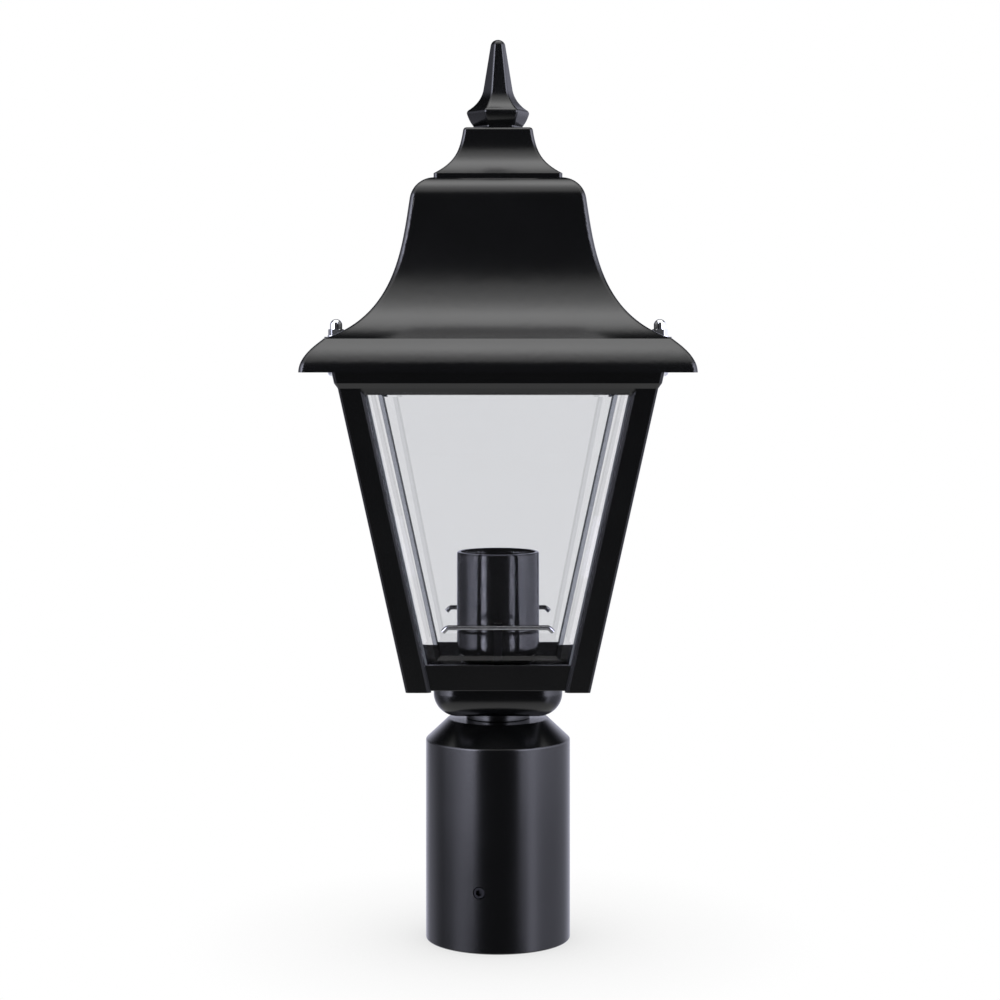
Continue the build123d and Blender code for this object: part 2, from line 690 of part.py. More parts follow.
def make_spring_bracket():
    """Narrow strip that stands on the pan on a wider foot, grooved near its top for the front wire."""
    outer = PANE_INSET + PANE_T + SPRING_PLATE_GAP
    inner = outer + SPRING_PLATE_T
    top = RIM_Z + WIRE_H + SPRING_PLATE_OVER
    plate_outline = [
        (outer - half_width(FLOOR_Z), FLOOR_Z),
        (outer - half_width(top), top),
        (inner - half_width(top), top),
        (inner - half_width(FLOOR_Z), FLOOR_Z),
    ]
    face = make_face(Polyline(*plate_outline, close=True))
    plate = extrude(Plane.YZ * face, SPRING_PLATE_HALF, both=True)
    high = RIM_Z + WIRE_H
    groove = Cylinder(WIRE_R, 2 * SPRING_PLATE_HALF + 2)
    plate -= Pos(0, wire_inset() - half_width(high), high) * Rot(0, 90, 0) * groove
    foot_start = inner - half_width(STRAP_Z)
    foot_end = foot_start + SPRING_FOOT
    foot = block(-SPRING_FOOT_HALF, SPRING_FOOT_HALF, foot_start, foot_end, FLOOR_Z, STRAP_Z)
    x, y = spring_screw_places()[0]
    return plate + foot - disc(SMALL_SCREW_R, FLOOR_Z - 1, STRAP_Z + 1, x, y)


def spring_screw_places():
    """Screws of the front and the back bracket."""
    inner = PANE_INSET + PANE_T + SPRING_PLATE_GAP + SPRING_PLATE_T
    y = inner + SPRING_HOLE - half_width(FLOOR_Z)
    return [(0, y), (0, -y)]


def make_spring_screws():
    sizes = (SMALL_SCREW_R, SMALL_HEAD_R, SMALL_HEAD_H)
    return [pan_head_screw(STRAP_Z, RIM_Z, x, y, *sizes) for x, y in spring_screw_places()]


# ---------------------------------------------------------------- roof
def roof_outline(inset):
    """Right half of the roof's outline, moved in by inset: top, shoulder, flare, crease, eave."""
    turn = math.radians(SHOULDER_TURN)
    centre = (SHOULDER_HALF - SHOULDER_R, ROOF_TOP_Z - SHOULDER_R)
    top_z = ROOF_TOP_Z - inset
    reach = SHOULDER_R - inset
    middle = (centre[0] + reach * math.sin(turn / 2), centre[1] + reach * math.cos(turn / 2))
    end = (centre[0] + SHOULDER_R * math.sin(turn), centre[1] + SHOULDER_R * math.cos(turn))
    flare_run = CREASE_HALF - end[0]
    flare_drop = end[1] - CREASE_Z
    steep, gentle = [(end[0] + out * flare_run, end[1] - down * flare_drop) for out, down in ROOF_FLARE]
    crease = (CREASE_HALF, CREASE_Z)
    brow, edge = [(CREASE_HALF + out * EAVE_ROLL, CREASE_Z - down * CREASE_H) for out, down in ROOF_ROLL]
    curve = moved_in([end, steep, gentle, crease, brow, edge, (EAVE_HALF, EAVE_Z)], inset)
    return [
        Line((0, top_z), (centre[0], top_z)),
        ThreePointArc((centre[0], top_z), middle, curve[0]),
        Bezier(*curve[:4]),
        Bezier(*curve[3:]),
        Line(curve[-1], (0, EAVE_Z)),
        Line((0, EAVE_Z), (0, top_z)),
    ]


def make_roof():
    """Hollow bell with a square rib that seats on the gasket, and a boss round each screw."""
    outer = bell(mirrored_face(roof_outline(0)), [90], 1.2 * EAVE_HALF)
    outer = fillet(hips(outer), ROOF_HIP_R)
    hollow = bell(mirrored_face(roof_outline(ROOF_WALL)), [90], 1.2 * EAVE_HALF)
    rib_half = RING_HALF - ROOF_RIB_INSET
    rib = extrude(Pos(0, 0, SEAT_Z) * Rectangle(2 * rib_half, 2 * rib_half), 2 * CREASE_H)
    rib_in = 2 * (rib_half - ROOF_RIB_T)
    rib -= extrude(Pos(0, 0, SEAT_Z - 1) * Rectangle(rib_in, rib_in), 3 * CREASE_H)
    roof = outer - (hollow - rib)
    for x in (-NUT_X, NUT_X):
        roof -= disc(SPOT_R, PAD_Z, PAD_Z + 2 * ROOF_WALL, x, 0)
        roof += disc(BOSS_R, RING_TOP_Z + SEAT_GAP, PAD_Z, x, 0)
        roof -= disc(ROOF_SCREW_R + THROUGH, LUG_TOP_Z, PAD_Z + 1, x, 0)
    roof -= disc(FINIAL_STUD_R + THROUGH, ROOF_TOP_Z - 2 * ROOF_WALL, ROOF_TOP_Z + 1)
    return roof


def make_roof_gasket():
    """Rubber strip on top of the ring, under the roof's rib."""
    outer = 2 * (RING_HALF - GASKET_INSET)
    inner = outer - 2 * GASKET_W
    gasket = extrude(Pos(0, 0, RING_TOP_Z) * Rectangle(outer, outer), GASKET_T)
    gasket -= extrude(Pos(0, 0, RING_TOP_Z - 1) * Rectangle(inner, inner), GASKET_T + 2)
    for x in (-NUT_X, NUT_X):
        gasket -= disc(BOSS_R + THROUGH, RING_TOP_Z - 1, SEAT_Z + 1, x, 0)
    return gasket


def make_roof_screws():
    """Screws up through the ring's lugs, with round heads below; the cap nuts go on their ends."""
    seat = LUG_TOP_Z - LUG_T
    low = seat - ROOF_SCREW_HEAD_H
    tip = PAD_Z + WASHER_T + NUT_HEX_H + ROOF_SCREW_SHOW
    screws = []
    for x in (-NUT_X, NUT_X):
        head = disc(ROOF_SCREW_HEAD_R, low, seat, x, 0)
        head = fillet(rings_at(head, low), ROOF_SCREW_HEAD_ROUND)
        ends = (x - ROOF_SCREW_HEAD_R, x + ROOF_SCREW_HEAD_R)
        slot = block(*ends, -SLOT_W / 2, SLOT_W / 2, low - 1, low + ROOF_SCREW_SLOT_H)
        screws.append(head - slot + disc(ROOF_SCREW_R, seat, tip, x, 0))
    return screws


def make_roof_washers():
    hole = ROOF_SCREW_R + THROUGH
    return [tube(WASHER_R, hole, PAD_Z, PAD_Z + WASHER_T, x, 0) for x in (-NUT_X, NUT_X)]


def make_cap_nut(x):
    """Domed nut, closed at the top, that turns on the end of a roof screw."""
    base = PAD_Z + WASHER_T
    top = base + NUT_H
    nut = hexagon(NUT_FLATS, base, base + NUT_HEX_H, x, 0)
    corners = disc(NUT_CORNER_R, base, base + NUT_HEX_H, x, 0)
    nut &= fillet(rings_at(corners, base + NUT_HEX_H), NUT_CORNER_ROUND)
    dome = disc(NUT_DOME_R, base + NUT_HEX_H / 2, top, x, 0)
    nut += fillet(rings_at(dome, top), NUT_DOME_ROUND)
    return nut - disc(ROOF_SCREW_R + RUNNING, base - 1, base + NUT_HEX_H + NUT_BORE_OVER, x, 0)


# ---------------------------------------------------------------- upper cap and finial
def cap_outline(inset):
    """Right half of the upper cap's outline, moved in by inset for the hollow."""
    lip_z = ROOF_TOP_Z + CAP_LIP_H
    half = CAP_HALF - inset
    top_z = CAP_TOP_Z - inset
    top_half = CAP_TOP_HALF - inset
    rise = top_z - lip_z
    run = half - top_half
    low, high, flare_end = [(half - back * run, lip_z + up * rise) for back, up in CAP_FLARE]
    corner = (top_half, top_z)
    return [
        Line((0, ROOF_TOP_Z), (half, ROOF_TOP_Z)),
        Line((half, ROOF_TOP_Z), (half, lip_z)),
        Bezier((half, lip_z), low, high, flare_end),
        Line(flare_end, corner),
        Line(corner, (0, top_z)),
        Line((0, top_z), (0, ROOF_TOP_Z)),
    ]


def make_upper_cap():
    """Hollow square cap that stands on the roof's flat top and carries the finial."""
    outer = bell(mirrored_face(cap_outline(0)), [90], 1.2 * CAP_HALF)
    outer = fillet(hips(outer), CAP_HIP_R)
    outer = fillet(edges_at(outer, CAP_TOP_Z), CAP_TOP_R)
    hollow = bell(mirrored_face(cap_outline(CAP_WALL)), [90], 1.2 * CAP_HALF)
    hole = disc(FINIAL_STUD_R + THROUGH, ROOF_TOP_Z, CAP_TOP_Z + 1)
    return outer - hollow - hole


def finial_outline():
    """Right half of the finial's outline across its flats: foot, bulge, flare and tapered spire."""
    foot_z = CAP_TOP_Z
    tip_z = foot_z + FINIAL_H
    foot = (FINIAL_FOOT_HALF, foot_z + FINIAL_FOOT_H)
    bulge = (FINIAL_BULGE_HALF, foot_z + FINIAL_BULGE_H)
    brow = (FINIAL_BROW_HALF, foot_z + FINIAL_BROW_H)
    spire = (FINIAL_SPIRE_HALF, foot_z + FINIAL_SPIRE_H)
    point = (FINIAL_POINT_HALF, tip_z - FINIAL_POINT_H)
    under_bulge = (FINIAL_BROW_HALF, foot_z + 5.3)
    over_bulge = (FINIAL_BULGE_HALF - 0.15, foot_z + 8.9)
    flare = [(9.9, foot_z + 12.0), (7.25, foot_z + 15.6)]
    round_tip = (2 * FINIAL_POINT_HALF / 3, tip_z - 0.85)
    return [
        Line((0, foot_z), (FINIAL_FOOT_HALF, foot_z)),
        Line((FINIAL_FOOT_HALF, foot_z), foot),
        ThreePointArc(foot, under_bulge, bulge),
        ThreePointArc(bulge, over_bulge, brow),
        Bezier(brow, *flare, spire),
        Line(spire, point),
        ThreePointArc(point, round_tip, (0, tip_z)),
        Line((0, tip_z), (0, foot_z)),
    ]


def make_finial():
    """Six-sided casting, tapped from below for its stud."""
    solid = bell(mirrored_face(finial_outline()), [60, 120], 2 * FINIAL_BULGE_HALF)
    solid = Rot(0, 0, 30 + FINIAL_TURN) * solid
    return solid - disc(FINIAL_STUD_R, CAP_TOP_Z - 1, CAP_TOP_Z + FINIAL_STUD_GRIP)


def make_finial_stud():
    """Threaded rod from inside the roof up through the cap into the finial."""
    bottom = ROOF_TOP_Z - ROOF_WALL - FINIAL_WASHER_T - FINIAL_NUT_H - 2.0
    return disc(FINIAL_STUD_R, bottom, CAP_TOP_Z + FINIAL_STUD_GRIP)


def make_finial_washer():
    top = ROOF_TOP_Z - ROOF_WALL
    return tube(FINIAL_WASHER_R, FINIAL_STUD_R, top - FINIAL_WASHER_T, top)


def make_finial_nut():
    top = ROOF_TOP_Z - ROOF_WALL - FINIAL_WASHER_T
    nut = hexagon(FINIAL_NUT_FLATS, top - FINIAL_NUT_H, top)
    return nut - disc(FINIAL_STUD_R, top - FINIAL_NUT_H - 1, top + 1)


# ---------------------------------------------------------------- lampholder
def make_holder_strap():
    """Steel strap across the pan's opening, which the lampholder stands on."""
    strap = block(-STRAP_HALF, STRAP_HALF, -STRAP_WIDTH / 2, STRAP_WIDTH / 2, FLOOR_Z, STRAP_Z)
    strap = fillet(strap.edges().filter_by(Axis.Z), STRAP_CORNER_R)
    strap -= disc(NIPPLE_R, FLOOR_Z - 1, STRAP_Z + 1)
    for x in (-STRAP_SCREW_X, STRAP_SCREW_X):
        strap -= disc(SCREW_R, FLOOR_Z - 1, STRAP_Z + 1, x, 0)
    return strap


def make_strap_screws():
    return [pan_head_screw(STRAP_Z, RIM_Z, x, 0) for x in (-STRAP_SCREW_X, STRAP_SCREW_X)]


def make_holder_nipple():
    """Hollow threaded tube through the strap into the lampholder's cap."""
    bottom = FLOOR_Z - NIPPLE_NUT_H - NIPPLE_SHOW
    return tube(NIPPLE_R, NIPPLE_BORE_R, bottom, STRAP_Z + HOLDER_NECK_H)


def make_nipple_nut():
    nut = hexagon(NIPPLE_NUT_FLATS, FLOOR_Z - NIPPLE_NUT_H, FLOOR_Z)
    return nut - disc(NIPPLE_R, FLOOR_Z - NIPPLE_NUT_H - 1, FLOOR_Z + 1)


def lead_port(x):
    """Hole in the back of the holder's neck for one lead."""
    port = Cylinder(LEAD_R, HOLDER_NECK_R)
    return Pos(x, HOLDER_NECK_R, LEAD_TOP_Z) * Rot(90, 0, 0) * port


def make_holder_cap():
    """Lower half of the lampholder: neck, round underside and the collar that the sleeve grips."""
    body_z = STRAP_Z + HOLDER_NECK_H
    cap = disc(HOLDER_R, body_z, HOLDER_SEAM_Z)
    cap = fillet(rings_at(cap, body_z), HOLDER_UNDER_R)
    cap = chamfer(rings_at(cap, HOLDER_SEAM_Z), HOLDER_EDGE)
    cap += disc(HOLDER_NECK_R, STRAP_Z, body_z + HOLDER_UNDER_R)
    collar_r = HOLDER_R - HOLDER_WALL
    cap += disc(collar_r, HOLDER_SEAM_Z - 1, HOLDER_SEAM_Z + HOLDER_SCREWED)
    cap -= disc(collar_r - HOLDER_COLLAR_WALL, CORE_Z, HOLDER_SEAM_Z + HOLDER_SCREWED + 1)
    cap -= disc(HOLDER_NECK_R - HOLDER_NECK_WALL, STRAP_Z + HOLDER_NECK_WALL, CORE_Z + 1)
    cap -= disc(NIPPLE_R, STRAP_Z - 1, CORE_Z)
    for x in (-LEAD_X, LEAD_X):
        cap -= lead_port(x)
    return cap


def make_holder_sleeve():
    """Upper half of the lampholder: a tube with an inner skirt round the lamp's shell."""
    top = HOLDER_SEAM_Z + HOLDER_SLEEVE_H
    sleeve = disc(HOLDER_R, HOLDER_SEAM_Z, top)
    sleeve = chamfer(rings_at(sleeve, HOLDER_SEAM_Z), HOLDER_EDGE)
    sleeve = fillet(rings_at(sleeve, top), HOLDER_EDGE)
    web_top = top - SKIRT_RECESS
    sleeve -= disc(HOLDER_R - HOLDER_WALL, HOLDER_SEAM_Z - 1, web_top - SKIRT_WALL)
    sleeve -= disc(HOLDER_R - HOLDER_WALL, web_top, top + 1)
    skirt_low = HOLDER_SEAM_Z + HOLDER_SCREWED + SKIRT_GAP
    sleeve += tube(SKIRT_R, SKIRT_R - SKIRT_WALL, skirt_low, web_top)
    return sleeve - disc(SKIRT_R - SKIRT_WALL, HOLDER_SEAM_Z, top)


def make_holder_core():
    """Ceramic disc in the cap, with a well in its top for the sprung contact."""
    core = fillet(rings_at(disc(CORE_R, CORE_Z, CORE_TOP_Z), CORE_TOP_Z), CORE_EDGE_R)
    core -= disc(CONTACT_WELL_R, CORE_TOP_Z - CONTACT_WELL_H, CORE_TOP_Z + 1)
    core -= disc(CONTACT_STEM_R + RUNNING, CORE_Z - 1, CORE_TOP_Z + 1)
    return core


def make_screw_shell():
    """Brass shell that a lamp screws into, standing on the core."""
    return tube(SHELL_R + SHELL_T, SHELL_R, CORE_TOP_Z, CORE_TOP_Z + SHELL_H)


def make_centre_contact():
    """Sprung brass button that presses on the tip of the lamp."""
    low = CORE_TOP_Z - CONTACT_WELL_H + CONTACT_GAP
    top = low + CONTACT_T
    button = fillet(rings_at(disc(CONTACT_R, low, top), top), CONTACT_EDGE_R)
    return button + disc(CONTACT_STEM_R, CORE_Z + 2 * CONTACT_TRAVEL, low)


def make_contact_spring():
    """Small coil spring between the floor of the well and the button."""
    low = CORE_TOP_Z - CONTACT_WELL_H + CONTACT_WIRE_R
    rise = CONTACT_GAP - 2 * CONTACT_WIRE_R
    path = Helix(rise / CONTACT_SPRING_TURNS, rise, CONTACT_SPRING_R)
    coil = sweep(Plane(origin=path @ 0, z_dir=path % 0) * Circle(CONTACT_WIRE_R), path, is_frenet=True)
    return Pos(0, 0, low) * coil


# ---------------------------------------------------------------- wiring
def make_terminal_block():
    """Block in the bowl where the supply cable is joined to the lampholder's leads."""
    wide, deep, _ = BLOCK_SIZE
    y0 = BLOCK_Y - deep / 2
    body = block(-wide / 2, wide / 2, y0, y0 + deep, BOWL_FLOOR_Z, BLOCK_TOP_Z)
    body = fillet(body.edges().filter_by(Axis.Z), BLOCK_CORNER_R)
    screw_low = BLOCK_TOP_Z - BLOCK_SCREW_SINK - BLOCK_SCREW_H
    for x in block_poles():
        body -= disc(BLOCK_SCREW_R, screw_low, BLOCK_TOP_Z + 1, x, BLOCK_Y - BLOCK_ROW)
    for x in (-LEAD_X, LEAD_X):
        body -= disc(LEAD_R, BLOCK_TOP_Z - LEAD_GRIP, BLOCK_TOP_Z + 1, x, BLOCK_Y + BLOCK_ROW)
    return body


def block_poles():
    start = -BLOCK_PITCH * (BLOCK_POLES - 1) / 2
    return [start + number * BLOCK_PITCH for number in range(BLOCK_POLES)]


def make_terminal_screws():
    """Brass clamp screws sunk in the terminal block."""
    top = BLOCK_TOP_Z - BLOCK_SCREW_SINK
    y = BLOCK_Y - BLOCK_ROW
    sides = (y - BLOCK_SLOT_W / 2, y + BLOCK_SLOT_W / 2)
    screws = []
    for x in block_poles():
        screw = disc(BLOCK_SCREW_R, top - BLOCK_SCREW_H, top, x, y)
        ends = (x - BLOCK_SCREW_R - 1, x + BLOCK_SCREW_R + 1)
        screws.append(screw - block(*ends, *sides, top - BLOCK_SLOT_H, top + 1))
    return screws


def make_lead(x):
    """Insulated lead from the terminal block up into the back of the holder's neck."""
    y = BLOCK_Y + BLOCK_ROW
    points = [
        (x, y, BLOCK_TOP_Z - LEAD_GRIP),
        (x, y, LEAD_TOP_Z),
        (x, HOLDER_NECK_R - LEAD_REACH, LEAD_TOP_Z),
    ]
    path = FilletPolyline(*points, radius=LEAD_BEND_R)
    return sweep(Plane(origin=path @ 0, z_dir=path % 0) * Circle(LEAD_R), path)


# ---------------------------------------------------------------- write every piece
front_pane = make_pane()
panes = {side: Rot(0, 0, turn) * front_pane for side, turn in SIDES.items()}
front_wire = make_spring_wire()
front_bracket = make_spring_bracket()
half_turn = Rot(0, 0, 180)

pieces = {
    "post_sleeve": make_post_sleeve(),
    "stem_tube": make_stem(),
    "stem_nuts": Compound(make_stem_nuts()),
    "stem_washers": Compound(make_stem_washers()),
    "cable_bush": make_cable_bush(),
    "neck_collar": make_neck_collar(),
    "base_bowl": make_base_bowl(),
    "cage": make_cage(),
    "cage_screws": Compound(make_cage_screws()),
    "earth_screw": make_earth_screw(),
    "earth_washer": make_earth_washer(),
    "corner_seals": Compound(make_corner_seals(list(panes.values()))),
    "spring_wire_front": front_wire,
    "spring_wire_back": half_turn * front_wire,
    "spring_brackets": Compound([front_bracket, half_turn * front_bracket]),
    "spring_screws": Compound(make_spring_screws()),
    "roof": make_roof(),
    "roof_gasket": make_roof_gasket(),
    "roof_screws": Compound(make_roof_screws()),
    "roof_washers": Compound(make_roof_washers()),
    "cap_nut_left": make_cap_nut(-NUT_X),
    "cap_nut_right": make_cap_nut(NUT_X),
    "upper_cap": make_upper_cap(),
    "finial": make_finial(),
    "finial_stud": make_finial_stud(),
    "finial_washer": make_finial_washer(),
    "finial_nut": make_finial_nut(),
    "holder_strap": make_holder_strap(),
    "strap_screws": Compound(make_strap_screws()),
    "holder_nipple": make_holder_nipple(),
    "nipple_nut": make_nipple_nut(),
    "holder_cap": make_holder_cap(),
    "holder_sleeve": make_holder_sleeve(),
    "holder_core": make_holder_core(),
    "screw_shell": make_screw_shell(),
    "centre_contact": make_centre_contact(),
    "contact_spring": make_contact_spring(),
    "terminal_block": make_terminal_block(),
    "terminal_screws": Compound(make_terminal_screws()),
    "lead_live": make_lead(LEAD_X),
    "lead_neutral": make_lead(-LEAD_X),
}
for side, pane in panes.items():
    pieces[f"pane_{side}"] = pane
for number, set_screw in enumerate(make_set_screws(), start=1):
    pieces[f"set_screw_{number}"] = set_screw

for name, piece in pieces.items():
    export(piece, name)
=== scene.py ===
"""Post top lantern in black coated cast aluminium, with bevelled panes and a bell roof."""
import bpy
import math
import numpy as np
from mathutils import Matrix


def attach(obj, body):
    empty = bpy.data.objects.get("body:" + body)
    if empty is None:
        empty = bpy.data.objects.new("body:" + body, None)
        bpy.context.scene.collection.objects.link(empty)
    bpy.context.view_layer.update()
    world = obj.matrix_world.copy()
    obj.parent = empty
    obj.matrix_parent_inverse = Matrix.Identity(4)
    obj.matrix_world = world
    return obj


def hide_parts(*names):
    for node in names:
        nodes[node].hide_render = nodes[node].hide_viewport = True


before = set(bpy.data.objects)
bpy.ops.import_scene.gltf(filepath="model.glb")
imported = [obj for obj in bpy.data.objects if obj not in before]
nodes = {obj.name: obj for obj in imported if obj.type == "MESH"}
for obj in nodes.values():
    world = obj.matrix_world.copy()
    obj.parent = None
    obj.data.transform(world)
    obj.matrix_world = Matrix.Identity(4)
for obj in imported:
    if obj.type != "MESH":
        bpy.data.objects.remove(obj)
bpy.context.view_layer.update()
MM = 0.001

# ------------------------------------------------------------------ camera
# A long lens far off and a little above the eave, held level so that the uprights stay upright. The
# picture is shifted down instead of tilting the camera.
LENS = 87.5
SENSOR = 36.0
STAND_OFF = 1227 * MM
EYE_LEVEL = 312.6 * MM
SHIFT_RIGHT = 0.002
SHIFT_DOWN = 0.183
NEAREST = 0.05
FARTHEST = 100

camera_data = bpy.data.cameras.new("camera")
camera_data.lens = LENS
camera_data.sensor_width = SENSOR
camera_data.shift_x = SHIFT_RIGHT
camera_data.shift_y = -SHIFT_DOWN
camera_data.clip_start = NEAREST
camera_data.clip_end = FARTHEST
camera = bpy.data.objects.new("camera", camera_data)
camera.location = (0, -STAND_OFF, EYE_LEVEL)
camera.rotation_euler = (math.radians(90), 0, 0)
bpy.context.scene.collection.objects.link(camera)
bpy.context.scene.camera = camera
bpy.context.scene.view_settings.view_transform = "Standard"


# ------------------------------------------------------------------ studio
# A white room that lights from all round. What shines off the lantern is a studio: dark round the
# camera, with long lamps to the left and right of it, a broad one overhead and a pale floor.
def links_of(tree):
    """Two short calls for a node tree: one adds a node with its settings, one joins two sockets."""
    def add(kind, **settings):
        node = tree.nodes.new(kind)
        for key, value in settings.items():
            setattr(node, key, value)
        return node

    def join(source, target):
        tree.links.new(source, target)

    return add, join


def arithmetic(tree, operation, first, second=None):
    """Output of a Math node, whose inputs are sockets or plain numbers."""
    add, join = links_of(tree)
    node = add("ShaderNodeMath", operation=operation)
    for socket, value in zip(node.inputs, (first, second)):
        if value is None:
            continue
        if isinstance(value, (int, float)):
            socket.default_value = value
        else:
            join(value, socket)
    return node.outputs[0]


def smooth_step(tree, value, low, high):
    """0 below low and 1 above high, eased between them. High may be the smaller of the two."""
    add, join = links_of(tree)
    node = add("ShaderNodeMapRange", interpolation_type="SMOOTHSTEP")
    join(value, node.inputs["Value"])
    node.inputs["From Min"].default_value = min(low, high)
    node.inputs["From Max"].default_value = max(low, high)
    node.inputs["To Min"].default_value = 0.0 if low < high else 1.0
    node.inputs["To Max"].default_value = 1.0 if low < high else 0.0
    return node.outputs["Result"]


def banded(tree, value, centre, inner, outer):
    """1 where value is within inner of centre and 0 beyond outer, eased between them."""
    off = arithmetic(tree, "ABSOLUTE", arithmetic(tree, "SUBTRACT", value, centre))
    return smooth_step(tree, off, outer, inner)


def along_stops(tree, value, stops):
    """Number that goes straight from stop to stop, each given as (value, number)."""
    add, join = links_of(tree)
    share = add("ShaderNodeMapRange")
    join(value, share.inputs["Value"])
    first, last = stops[0][0], stops[-1][0]
    share.inputs["From Min"].default_value = first
    share.inputs["From Max"].default_value = last
    ramp = add("ShaderNodeValToRGB")
    join(share.outputs["Result"], ramp.inputs[0])
    most = max(number for at, number in stops)
    held = ramp.color_ramp.elements
    for at, number in stops[1:-1]:
        held.new((at - first) / (last - first))
    for element, (at, number) in zip(held, stops):
        element.color = (number / most, number / most, number / most, 1)
    return arithmetic(tree, "MULTIPLY", ramp.outputs[0], most)


WHITE = 1.0
ROOM_LIGHT = 0.85
SIDE_TINT = (0.97, 0.98, 1.18)
ANY_BOUNCE = 0.5

# Stops of (degrees, strength). The sides go round to the right, with the camera at 0, and the
# overhead goes up from level.
HIGH_SIDES = (
    (-180, 1.0), (-160, 0.9), (-135, 0.1), (-116, 0.3), (-101, 0.6), (-88, 2.2), (-75, 3.0), (-60, 4.2),
    (-52, 6.5), (-42, 8.5), (-36, 6.5), (-31, 0.3), (-27, 0.03), (27, 0.03), (32, 0.5), (37, 5.5),
    (46, 5.0), (70, 3.8), (81, 2.9), (93, 2.3), (106, 1.6), (122, 1.1), (155, 0.9), (180, 1.0),
)
LOW_SIDES = (
    (-180, 1.0), (-160, 0.9), (-140, 0.5), (-125, 0.55), (-100, 0.2), (-80, 0.3), (-66, 0.9), (-56, 0.8),
    (-47, 0.3), (-38, 0.03), (25, 0.03), (35, 0.03), (44, 0.2), (50, 1.4), (56, 1.9), (64, 1.3),
    (72, 0.8), (90, 0.7), (130, 0.55), (155, 0.8), (180, 1.0),
)
OVERHEAD = (
    (-90, 0.9), (-60, 0.85), (-46, 0.75), (-38, 0.4), (-33, 0.03), (42, 0.03), (53, 1.2), (68, 1.9),
    (90, 3.9),
)

# Each fade goes from nothing at its first number to all at its second. The front's says how far a
# direction leads towards the camera, where 1 is straight at it. The others are in degrees, and the
# one above counts from the top of the sides, which rises towards the front.
SIDES_CHANGE = (-9.6, -8.0)
FRONT_FADE = (-0.6, 0.0)
SIDE_TOP = 8.0
SIDE_TOP_RISE = 22.0
ABOVE_FADE = (22.0, 2.0)
BELOW_FADE = (-50.0, -25.0)
OVERHEAD_FADE = (135.0, 108.0)

world = bpy.data.worlds.new("white_room")
bpy.context.scene.world = world
world.use_nodes = True
tree = world.node_tree
tree.nodes.clear()
add, join = links_of(tree)
split = add("ShaderNodeSeparateXYZ")
join(add("ShaderNodeTexCoord").outputs["Generated"], split.inputs[0])
across, along, up = split.outputs
forward = arithmetic(tree, "MULTIPLY", along, -1.0)
turned, pitched, height = (
    arithmetic(tree, "MULTIPLY", angle, math.degrees(1)) for angle in (
        arithmetic(tree, "ARCTAN2", across, forward),
        arithmetic(tree, "ARCTAN2", up, forward),
        arithmetic(tree, "ARCSINE", up)))
sides = add("ShaderNodeMix", data_type="FLOAT")
join(smooth_step(tree, height, *SIDES_CHANGE), sides.inputs["Factor"])
join(along_stops(tree, turned, LOW_SIDES), sides.inputs["A"])
join(along_stops(tree, turned, HIGH_SIDES), sides.inputs["B"])
forwardness = smooth_step(tree, forward, *FRONT_FADE)
side_top = arithmetic(tree, "ADD", arithmetic(tree, "MULTIPLY", forwardness, SIDE_TOP_RISE), SIDE_TOP)
in_reach = arithmetic(
    tree, "MULTIPLY",
    smooth_step(tree, arithmetic(tree, "SUBTRACT", height, side_top), *ABOVE_FADE),
    smooth_step(tree, height, *BELOW_FADE))
side_shine = arithmetic(tree, "MULTIPLY", sides.outputs["Result"], in_reach)
top_shine = arithmetic(
    tree, "MULTIPLY", along_stops(tree, height, OVERHEAD), smooth_step(tree, pitched, *OVERHEAD_FADE))

path = add("ShaderNodeLightPath")
mirrored = arithmetic(tree, "GREATER_THAN", path.outputs["Glossy Depth"], ANY_BOUNCE)
scattered = arithmetic(tree, "GREATER_THAN", path.outputs["Diffuse Depth"], ANY_BOUNCE)
straight = add("ShaderNodeMix", data_type="FLOAT")
join(scattered, straight.inputs["Factor"])
straight.inputs["A"].default_value = WHITE
straight.inputs["B"].default_value = ROOM_LIGHT
plain_part = add("ShaderNodeMix", data_type="FLOAT")
join(mirrored, plain_part.inputs["Factor"])
join(straight.outputs["Result"], plain_part.inputs["A"])
join(top_shine, plain_part.inputs["B"])
plain_light = add("ShaderNodeBackground")
plain_light.inputs["Color"].default_value = (1, 1, 1, 1)
join(plain_part.outputs["Result"], plain_light.inputs["Strength"])
side_light = add("ShaderNodeBackground")
side_light.inputs["Color"].default_value = (*SIDE_TINT, 1)
join(arithmetic(tree, "MULTIPLY", side_shine, mirrored), side_light.inputs["Strength"])
both = add("ShaderNodeAddShader")
join(plain_light.outputs[0], both.inputs[0])
join(side_light.outputs[0], both.inputs[1])
join(both.outputs[0], add("ShaderNodeOutputWorld").inputs["Surface"])

# The floor is a plain white sheet. Straight from the camera it is as white as the room, less a soft
# shadow that the lantern keeps on it.
FLOOR_HALF = 30.0
SHADOW_REACH = 130 * MM
SHADOW_DEPTH = 0.35
SHADOW_EASE = 1.6
FLOOR_GREY = 0.8

floor_mesh = bpy.data.meshes.new("floor")
floor_mesh.from_pydata(
    [(-FLOOR_HALF, -FLOOR_HALF, 0), (FLOOR_HALF, -FLOOR_HALF, 0),
     (FLOOR_HALF, FLOOR_HALF, 0), (-FLOOR_HALF, FLOOR_HALF, 0)], [], [(0, 1, 2, 3)])
floor = bpy.data.objects.new("floor", floor_mesh)
bpy.context.scene.collection.objects.link(floor)
floor.visible_glossy = False
floor.visible_transmission = False

